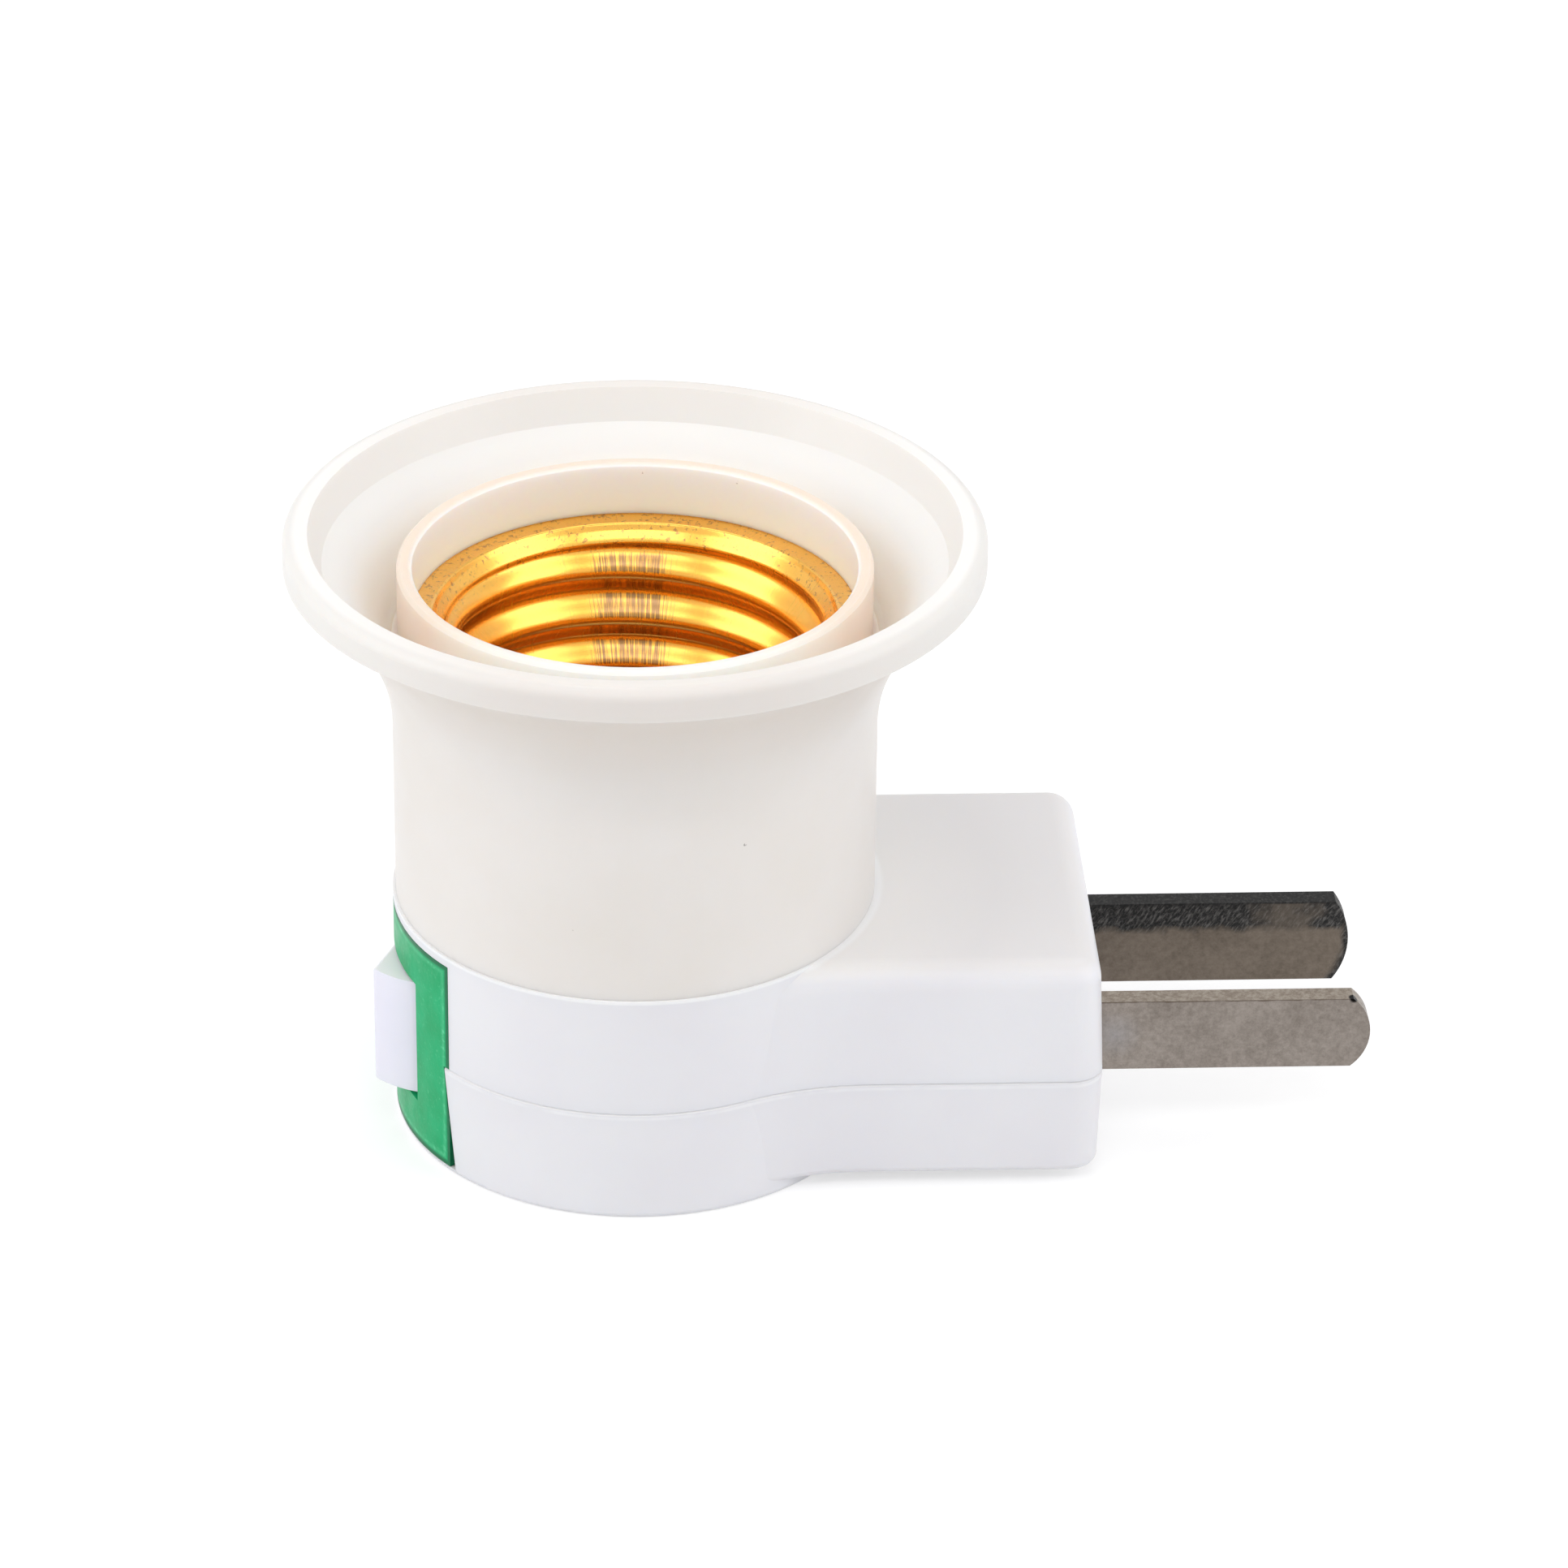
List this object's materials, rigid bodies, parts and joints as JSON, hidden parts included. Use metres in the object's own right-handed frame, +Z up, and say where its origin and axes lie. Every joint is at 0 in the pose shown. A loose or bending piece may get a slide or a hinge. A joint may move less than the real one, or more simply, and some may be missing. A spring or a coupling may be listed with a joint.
{
  "type": "plug-in lamp holder",
  "caption": "Screw-cap lamp socket with a trumpet lip on a round switch base, with a rocker switch at one side and flat plug blades at the other.",
  "frame": {"origin": "centre of the flat round underside, on the lamp axis", "axes": "+Z up the lamp axis, out of the socket's mouth; +X along the plug arm, towards the blades' tips; the rocker faces -X"},
  "size_m": [0.0745, 0.0476, 0.0445],
  "materials": {
    "ivory_plastic": "satin moulded, warm white",
    "white_plastic": "satin moulded, cool white",
    "rocker_plastic": "satin moulded, cool white",
    "green_plastic": "satin moulded green",
    "board": "pressed insulating board",
    "gold_shell": "bright gold-coloured rolled sheet",
    "spring_bronze": "rolled spring strip",
    "terminal_brass": "stamped strip",
    "nickel": "nickel plate, lightly worn",
    "steel": "zinc plated",
    "silver": "contact silver",
    "lead_brown": "insulation",
    "lead_blue": "insulation"
  },
  "bodies": {
    "housing": {"socket_body": "ivory_plastic", "screw_shell": "gold_shell", "contact_insulator": "board", "centre_contact": "spring_bronze", "centre_contact_rivet": "terminal_brass", "shell_screws": "steel", "shell_terminal": "terminal_brass", "upper_housing": "white_plastic", "lower_housing": "white_plastic", "housing_screws": "steel", "switch_bezel": "green_plastic", "common_terminal": "terminal_brass", "output_terminal": "terminal_brass", "fixed_contact_tip": "silver", "live_blade": "nickel", "neutral_blade": "nickel", "live_lead": "lead_brown", "neutral_lead": "lead_blue", "switched_lead": "lead_brown"},
    "rocker": {"switch_rocker": "rocker_plastic", "switch_plunger": "board", "plunger_spring": "steel"},
    "seesaw": {"moving_contact": "spring_bronze", "moving_contact_tip": "silver"}
  },
  "joints": [
    {"name": "rocker_tilt", "type": "hinge", "parent": "housing", "child": "rocker", "pos_m": [-0.013, 0, 0.0085], "axis": [0, 0, 1], "range_deg": [0, 23]},
    {"name": "contact_tilt", "type": "hinge", "parent": "housing", "child": "seesaw", "pos_m": [-0.0062, 0, 0.0085], "axis": [0, 0, 1], "range_deg": [-16, 0]}
  ],
  "couplings": [
    {"joint": "contact_tilt", "follows": "rocker_tilt", "ratio": -0.6956}
  ]
}
